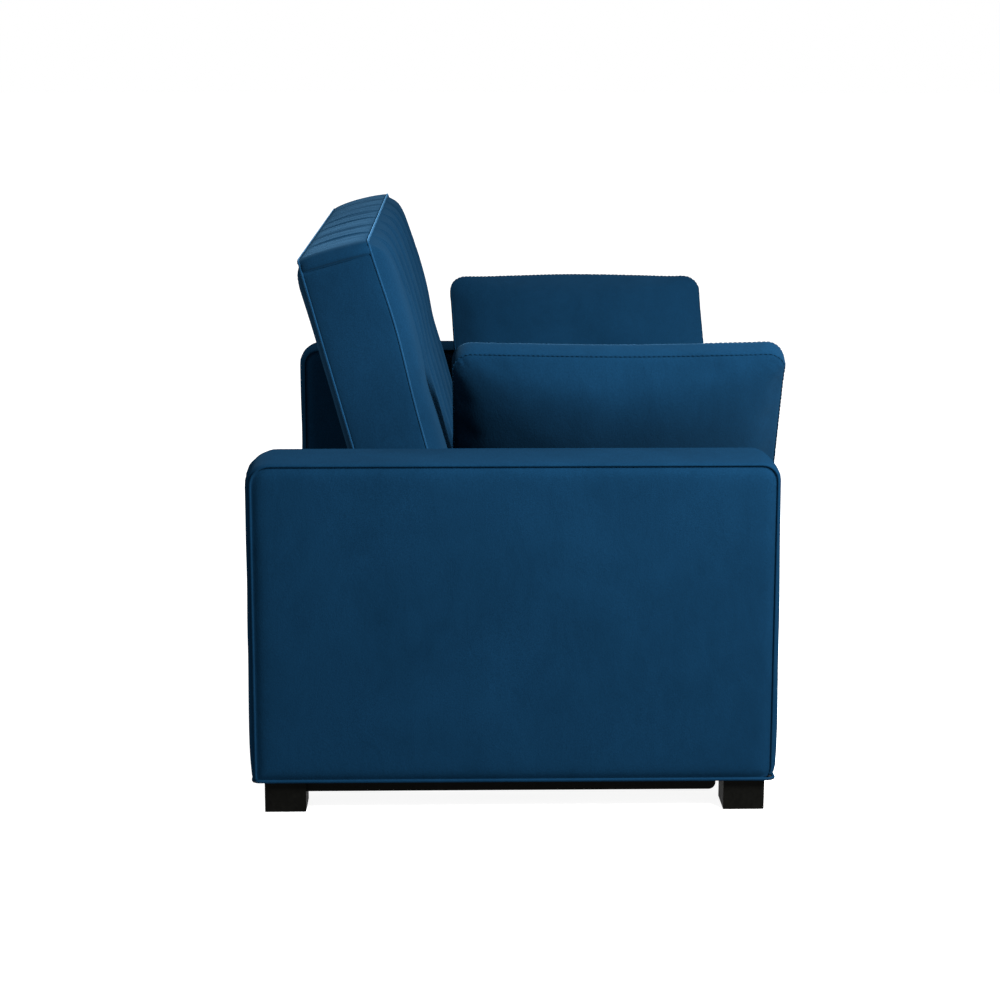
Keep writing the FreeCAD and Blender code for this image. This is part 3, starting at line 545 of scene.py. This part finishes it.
def make_arm(word, side):
    """A box arm: u runs along it and v up it, with the boxing swollen most at its ends."""
    low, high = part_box(f"arm_{word}_cover")
    bulge, top_bulge, panel_rise = 8 * MM, 4 * MM, 4 * MM
    swell = {"front": 9 * MM, "rear": 14 * MM}
    front_spread, foot_height, foot_share = 6 * MM, 70 * MM, 0.25
    half = ((high.y - low.y) / 2 - bulge, (high.z - low.z - top_bulge) / 2)
    centre = Vector(((low.x + high.x) / 2, (low.y + high.y) / 2, (low.z + high.z - top_bulge) / 2))
    matrix = axes((0, side, 0), (0, 0, 1), centre)
    ends = ("rear", "front") if side > 0 else ("front", "rear")
    radii = [ARM_CORNERS[ends[0]], ARM_CORNERS[ends[1]], FOOT_CORNERS[ends[1]], FOOT_CORNERS[ends[0]]]
    form = Boxed(half, (high.x - low.x) / 2 - panel_rise, radii)
    standing = above_hem(form.ring_out)
    boxing = banded(1.0, wave=0.16, seed=3 + side, power=0.3)

    def band(points, level):
        sideways = form.ring_out[:, 0]
        height = (points[:, 1] + half[1]) / (2 * half[1])
        full = {"front": swell["front"] + front_spread * (1 - height), "rear": swell["rear"]}
        across = np.where(sideways > 0, full[ends[0]], full[ends[1]])
        size = top_bulge + (across - top_bulge) * sideways ** 2
        foot = np.clip(1 - (points[:, 1] + half[1]) / foot_height, 0, 1)
        size = size * (1 - foot_share * foot * foot)
        return boxing(points, level) * size * standing

    panel = crowned(panel_rise + 1.5 * MM, 8 * MM, dip=2.6 * MM, dip_reach=4 * MM, gather=0.35 * MM,
                    wave=1.1 * MM, seed=5 + side)
    vertices, faces = form.build(panel, panel, band)
    piece = make_piece(f"arm_{word}_upholstery", placed(vertices, matrix), faces, ARM_VELVET_PAINTED_SHADE)
    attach(piece, "base")
    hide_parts(f"arm_{word}_cover", f"arm_{word}_padding")

    seams = []
    for face in (1, -1):
        points, outward = form.piping(face)
        hem = np.flatnonzero(above_hem(outward) == 0)
        start = int(hem.max()) + 1
        order = np.roll(np.arange(len(points)), -start)
        order = order[above_hem(outward[order]) > 0]
        seams.append((placed(points[order], matrix), False))
    piping = make_piece(f"arm_{word}_piping", *cord_mesh(seams, PIPING), ARM_VELVET_PAINTED_SHADE)
    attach(piping, "base")

    roll = 3 * MM
    inset, outset, hem_corner = 1.5 * MM, 0.5 * MM, 12 * MM
    hem_matrix = axes((1, 0, 0), (0, 1, 0), (centre.x, centre.y, low.z))
    hem = rounded_loop((high.x - low.x) / 2 - inset - roll, half[0] + bulge + outset - roll, hem_corner)
    fold = make_piece(f"arm_{word}_hem", *cord_mesh([(placed(hem, hem_matrix), True)], roll), ARM_VELVET_PAINTED_SHADE)
    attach(fold, "base")


for word, side in SIDES:
    make_arm(word, side)

# ---------------------------------------------------------------- backrest

BACK_LEAN = math.radians(15.6)
CHANNELS = 7
END_SEAM = 19 * MM


def back_frame():
    """The backrest's thickness, length and matrix: u along X, v up the cushion, w out of its front."""
    low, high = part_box("backrest_cover")
    cosine, sine = math.cos(BACK_LEAN), math.sin(BACK_LEAN)
    depth, height = high.y - low.y, high.z - low.z
    length = (height * cosine - depth * sine) / (cosine ** 2 - sine ** 2)
    thick = (depth * cosine - height * sine) / (cosine ** 2 - sine ** 2)
    up, back = Vector((0, sine, cosine)), Vector((0, cosine, -sine))
    corner = Vector((0, low.y, low.z + thick * sine))
    centre = corner + up * length / 2 + back * thick / 2
    return thick, length, (high.x - low.x) / 2, axes((1, 0, 0), up, centre)


def tuck_lines(half_width):
    """Where the stitched tucks run between evenly wide channels."""
    return [half_width * (2 * number / CHANNELS - 1) for number in range(1, CHANNELS)]


def tucked(across, lines, depth, lip):
    """Stitched tucks: a narrow groove with a raised lip along each side, and a gently crowned channel."""
    away = np.abs(across[:, None] - np.array(lines)[None, :]).min(axis=1)
    groove = -depth * np.exp(-(away / (3.4 * MM)) ** 2) - 0.45 * depth * np.exp(-away / (22 * MM))
    return groove + lip * np.exp(-((away - 12 * MM) / (4.5 * MM)) ** 2)


def make_backrest():
    """The channelled cushion: its end panels have a second seam that rolls over the top."""
    thick, length, half_width, matrix = back_frame()
    end_rise = 5 * MM
    half = (half_width - end_rise, length / 2)
    lines = tuck_lines(half[0])
    seam_height = half[1] - END_SEAM

    def bow(points):
        """The cushion swells a little below its top edge."""
        below = half[1] - points[:, 1]
        return 6 * MM * np.exp(-((below - 150 * MM) / (110 * MM)) ** 2)

    form = Boxed(half, thick / 2, [20 * MM, 20 * MM, 14 * MM, 14 * MM], coarse=10 * MM, band_rows=16,
                 tucks=(lines, [seam_height]), bow=bow)
    puff = crowned(29 * MM, 19 * MM, dip=2 * MM, wave=1.5 * MM, gather=0.4 * MM, seed=11)
    plain = crowned(17 * MM, 24 * MM, dip=1.5 * MM, wave=2.0 * MM, gather=0.4 * MM, seed=13)

    def front(points, distance):
        easing = 1 - np.exp(-distance / (12 * MM))
        pleats = np.column_stack([points[:, 0] * 2.6, points[:, 1] * 0.35, np.zeros(len(points))])
        hollow = -2 * MM * np.exp(-((half[1] - points[:, 1] - 270 * MM) / (40 * MM)) ** 2)
        folds = tucked(points[:, 0], lines, 12 * MM, 7 * MM) + 1 * MM * ripple(pleats, 0.09, 29)
        return puff(points, distance) + easing * (folds + hollow)

    def band(points, level):
        across = (1 - level * level) ** 0.5
        top = np.abs(form.ring_out[:, 1]) > 0.7
        fine = np.column_stack([points[:, 0] * 3.0, points[:, 1], np.full(len(points), level * 0.02)])
        pleats = tucked(points[:, 0], lines, 5 * MM, 3 * MM) + 3.2 * MM * ripple(fine, 0.05, 19)
        over_top = (7 * MM + pleats) * across
        above = np.clip((points[:, 1] - seam_height) / (2 * MM), 0, 1)
        seam = 7 * MM * above - 5 * MM * np.exp(-((points[:, 1] - seam_height) / (2.6 * MM)) ** 2)
        flat = np.column_stack([points, np.full(len(points), level * 0.06)])
        on_end = (end_rise + seam) * across + 1.1 * MM * across * ripple(flat, 0.12, 17)
        return np.where(top, over_top, on_end)

    def rear(points, distance):
        """Full above, drawn in flat below, where the bumpers take its weight when it lies down."""
        share = np.clip((points[:, 1] + 35 * MM) / (80 * MM), 0, 1)
        share = share * share * (3 - 2 * share)
        easing = 1 - np.exp(-distance / (16 * MM))
        return plain(points, distance) * share - 1.2 * MM * easing * (1 - share)

    vertices, faces = form.build(front, rear, band)
    piece = make_piece("backrest_upholstery", placed(vertices, matrix), faces, BACK_VELVET_PAINTED_HIGHLIGHT)
    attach(piece, "backrest")
    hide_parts("backrest_cover", "backrest_foam")

    seams = []
    for face in (1, -1):
        points, _ = form.piping(face)
        seams.append((placed(points, matrix), True))
    piping = make_piece("backrest_piping", *cord_mesh(seams, PIPING), PIPING_VELVET_PAINTED_HIGHLIGHT)
    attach(piping, "backrest")


make_backrest()

# ---------------------------------------------------------------- seat, middle section and front panels


def make_pad(name, nodes, body, rise, top_seam, lean=0.0):
    """A boxed cushion lying flat, with tucks along it and piping round its top seam."""
    low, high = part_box(nodes[0])
    side_rise = 2.5 * MM
    top_z = high.z - top_seam
    bottom_z = low.z + 1 * MM
    half = ((high.x - low.x) / 2 - side_rise, (high.y - low.y - lean) / 2 - side_rise)
    centre = Vector((0, (low.y + high.y - lean) / 2, (top_z + bottom_z) / 2))
    matrix = axes((1, 0, 0), (0, 1, 0), centre)
    lines = tuck_lines(half[0])
    form = Boxed(half, (top_z - bottom_z) / 2, 22 * MM, coarse=10 * MM, tucks=(lines, ()))
    puff = crowned(rise, 24 * MM, wave=1.6 * MM, gather=0.5 * MM, seed=len(name))
    flat = crowned(0.0, 20 * MM)
    boxing = banded(side_rise, gather=0.5 * MM, wave=0.8 * MM, seed=len(name) + 2)

    def front(points, distance):
        easing = 1 - np.exp(-distance / (16 * MM))
        return puff(points, distance) + easing * tucked(points[:, 0], lines, 8 * MM, 2.2 * MM)

    def leaned(points):
        """The rear face leans back, following the backrest."""
        share = np.clip(points[:, 1] / half[1], 0, 1) ** 3
        level = (points[:, 2] + form.half_w) / (2 * form.half_w)
        return points + np.column_stack([np.zeros(len(points)), lean * share * level, np.zeros(len(points))])

    vertices, faces = form.build(front, flat, boxing)
    piece = make_piece(name, placed(leaned(vertices), matrix), faces, MATERIALS["velvet"])
    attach(piece, body)
    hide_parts(*nodes)
    points, _ = form.piping(1)
    piping = make_piece(name + "_piping", *cord_mesh([(placed(leaned(points), matrix), True)], PIPING),
                        PIPING_VELVET_PAINTED_HIGHLIGHT)
    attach(piping, body)


make_pad("seat_cushion", ["seat_cover", "seat_foam"], "seat", 20 * MM, 19 * MM, lean=37 * MM)
make_pad("middle_cushion", ["middle_cover", "middle_foam"], "base", 14 * MM, 14 * MM)


def make_front_panel(name, node, body):
    """An upholstered board across the front, wrapped round its edges."""
    low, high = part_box(node)
    thick, edge = 15 * MM, 1 * MM
    half = ((high.x - low.x) / 2 - edge, (high.z - low.z) / 2 - edge)
    matrix = axes((1, 0, 0), (0, 0, 1), (0, low.y + thick / 2, (low.z + high.z) / 2))
    form = Boxed(half, thick / 2 - edge, 9 * MM, coarse=14 * MM, band_rows=6)
    panel = crowned(2.2 * MM, 10 * MM, wave=0.9 * MM, seed=len(name))
    vertices, faces = form.build(panel, crowned(0.0, 10 * MM), banded(edge))
    piece = make_piece(name, placed(vertices, matrix), faces, MATERIALS["velvet"])
    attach(piece, body)
    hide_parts(node)


make_front_panel("seat_front_panel", "seat_fascia_cover", "seat")
make_front_panel("lower_front_panel", "front_apron_cover", "base")

# ---------------------------------------------------------------- pillows

PILLOW_LEAN = math.radians(28)
TOP_WAVE, TOP_DROOP = 3 * MM, 2 * MM


def inflate(piece, pressure, frames, cap):
    """Blows the piece up as cloth, keeping every point within the cap of where it started."""
    scene = bpy.context.scene
    start = np.empty(len(piece.data.vertices) * 3)
    piece.data.vertices.foreach_get("co", start)
    start = start.reshape(-1, 3)
    cloth = piece.modifiers.new("inflation", "CLOTH")
    cloth.settings.quality = 6
    cloth.settings.mass = 0.25
    cloth.settings.tension_stiffness = 40
    cloth.settings.compression_stiffness = 25
    cloth.settings.shear_stiffness = 12
    cloth.settings.bending_stiffness = 0.6
    cloth.settings.use_pressure = True
    cloth.settings.uniform_pressure_force = pressure
    cloth.settings.effector_weights.gravity = 0
    cloth.collision_settings.use_collision = False
    cloth.point_cache.frame_start, cloth.point_cache.frame_end = 1, frames
    for number in range(1, frames + 1):
        scene.frame_set(number)
    solved = piece.evaluated_get(bpy.context.evaluated_depsgraph_get()).to_mesh()
    ended = np.empty(len(solved.vertices) * 3)
    solved.vertices.foreach_get("co", ended)
    piece.modifiers.remove(cloth)
    moved = ended.reshape(-1, 3) - start
    length = np.maximum(np.linalg.norm(moved, axis=1, keepdims=True), 1e-9)
    capped = start + moved * cap * np.tanh(length / cap) / length
    piece.data.vertices.foreach_set("co", capped.ravel())
    piece.data.update()
    scene.frame_set(1)


def pillowed(half, rise, gather, seed):
    """A soft face swollen in the middle, with gathers along its seams and slow dents."""
    def stand_out(points, distance):
        share = np.clip(np.abs(points) / np.array(half), 0, 1)
        swell = (1 - share[:, 0] ** 2.6) * (1 - share[:, 1] ** 2.6)
        flat = np.column_stack([points, np.full(len(points), seed)])
        near_seam = np.exp(-distance / (30 * MM)) * (1 - np.exp(-distance / (4 * MM)))
        pinch = -2.5 * MM * np.exp(-distance / (4 * MM))
        dents = 5 * MM * ripple(flat, 0.20, seed) + 2.2 * MM * ripple(flat, 0.07, seed + 5)
        return rise * swell + swell * dents + gather * puckers(points, 19 * MM, seed) * near_seam + pinch
    return stand_out


# how each pillow differs from its CAD box: its length, its height, its place and how far its top sits back
PILLOW_SET = {
    "left": {"long": -20 * MM, "tall": 380 * MM, "back": 4 * MM, "slump": 20 * MM},
    "right": {"long": 6 * MM, "tall": 366 * MM, "back": 6 * MM, "slump": 0},
}


def make_pillow(word, side):
    """A boxed pillow leaning over the arm: u runs along the seat and v up the pillow."""
    low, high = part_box(f"pillow_{word}_cover")
    lie = PILLOW_SET[word]
    long, tall = high.y - low.y + lie["long"], lie["tall"]
    centre = (low + high) / 2 + Vector((0, lie["back"], 0))
    outward = Vector((side * math.sin(PILLOW_LEAN), 0, math.cos(PILLOW_LEAN)))
    matrix = axes((0, side, 0), outward, centre)
    form = Boxed((long / 2, tall / 2), 20 * MM, 34 * MM, coarse=9 * MM, band_rows=8)
    crown = pillowed(form.half, 50 * MM, 2.2 * MM, 21 + 4 * side)
    vertices, faces = form.build(crown, crown, banded(3 * MM, gather=1.8 * MM, wave=1.5 * MM, seed=23 + side,
                                                      pitch=19 * MM))
    piece = make_piece(f"pillow_{word}", vertices, faces, MATERIALS["velvet"])
    inflate(piece, pressure=4.0, frames=16, cap=7 * MM)
    for vertex in piece.data.vertices:
        u, v = vertex.co.x / form.half[0], max(vertex.co.y / form.half[1], 0)
        vertex.co.y += TOP_WAVE * v * v * math.sin(3.1 * u + 1.7 * side) - TOP_DROOP * u * u * v
    slump = Matrix.Identity(4)
    slump[0][1] = side * lie["slump"] / tall
    slump[0][3] = side * lie["slump"] / 2
    piece.data.transform(matrix @ slump)
    body = f"pillow_{word}"
    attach(piece, body)
    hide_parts(f"pillow_{word}_cover", f"pillow_{word}_filling")
    last_row, size = len(form.band_levels) - 1, len(form.ring)
    paths = []
    for row in (0, last_row):
        start = 2 * len(form.panel) + row * size
        path = [vertex.co + 0.1 * MM * vertex.normal for vertex in piece.data.vertices[start:start + size]]
        paths += stitch_paths(np.array(path))
    thread = make_piece(f"pillow_{word}_stitches", *cord_mesh(paths, 0.6 * MM, sides=6), MATERIALS["velvet"])
    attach(thread, body)


for word, side in SIDES:
    make_pillow(word, side)

# ---------------------------------------------------------------- studio


def area_light(name, place, target, size, power):
    light = bpy.data.lights.new(name, "AREA")
    light.shape, light.size, light.energy = "DISK", size, power
    lamp = bpy.data.objects.new(name, light)
    lamp.location = place
    lamp.rotation_euler = (Vector(target) - Vector(place)).to_track_quat("-Z", "Y").to_euler()
    bpy.context.scene.collection.objects.link(lamp)


def make_studio():
    """A white floor that hardly shades, a white surround and three soft lights."""
    floor_nodes = Nodes("studio_floor")
    tone = floor_nodes.noise(0.8, detail=2.0)
    floor_material = floor_nodes.shade(
        Base_Color=floor_nodes.ramp(tone, (0.2, (0.22, 0.22, 0.22)), (0.8, (0.25, 0.25, 0.25))), Roughness=1.0,
        Specular_IOR_Level=0.0, Emission_Color=(1.0, 1.0, 1.0), Emission_Strength=0.9)
    bpy.ops.mesh.primitive_circle_add(vertices=96, radius=60, fill_type="NGON")
    floor = bpy.context.object
    floor.name = "studio_floor"
    floor.data.materials.append(floor_material)
    world = bpy.data.worlds.new("studio")
    world.use_nodes = True
    background = world.node_tree.nodes["Background"]
    background.inputs["Color"].default_value = (1.0, 1.0, 1.0, 1.0)
    background.inputs["Strength"].default_value = 1.0
    bpy.context.scene.world = world
    area_light("key", (-1.9, -1.25, 1.95), (-0.7, -0.2, 0.5), 0.8, 540)
    area_light("front", (0.8, -2.6, 2.4), (0, 0, 0.4), 1.6, 90)
    area_light("rear", (0.6, 2.4, 2.0), (0, 0.3, 0.7), 1.4, 80)
    bpy.context.scene.view_settings.view_transform = "Standard"


def make_camera():
    """The three-quarter end view from the sitter's right, slightly above the arms."""
    yaw, pitch, roll = -0.0219, 0.1970, 0.0010
    forward = Vector((math.cos(pitch) * math.cos(yaw), math.cos(pitch) * math.sin(yaw), -math.sin(pitch)))
    right = forward.cross(Vector((0, 0, 1))).normalized()
    up = right.cross(forward)
    level_right = math.cos(roll) * right + math.sin(roll) * up
    level_up = -math.sin(roll) * right + math.cos(roll) * up
    data = bpy.data.cameras.new("camera")
    data.lens, data.sensor_width = 82.0, 36.0
    camera = bpy.data.objects.new("camera", data)
    matrix = Matrix((level_right, level_up, -forward)).transposed().to_4x4()
    matrix.translation = Vector((-4.566, 0.1264, 1.2987))
    camera.matrix_world = matrix
    bpy.context.scene.collection.objects.link(camera)
    bpy.context.scene.camera = camera


make_studio()
make_camera()
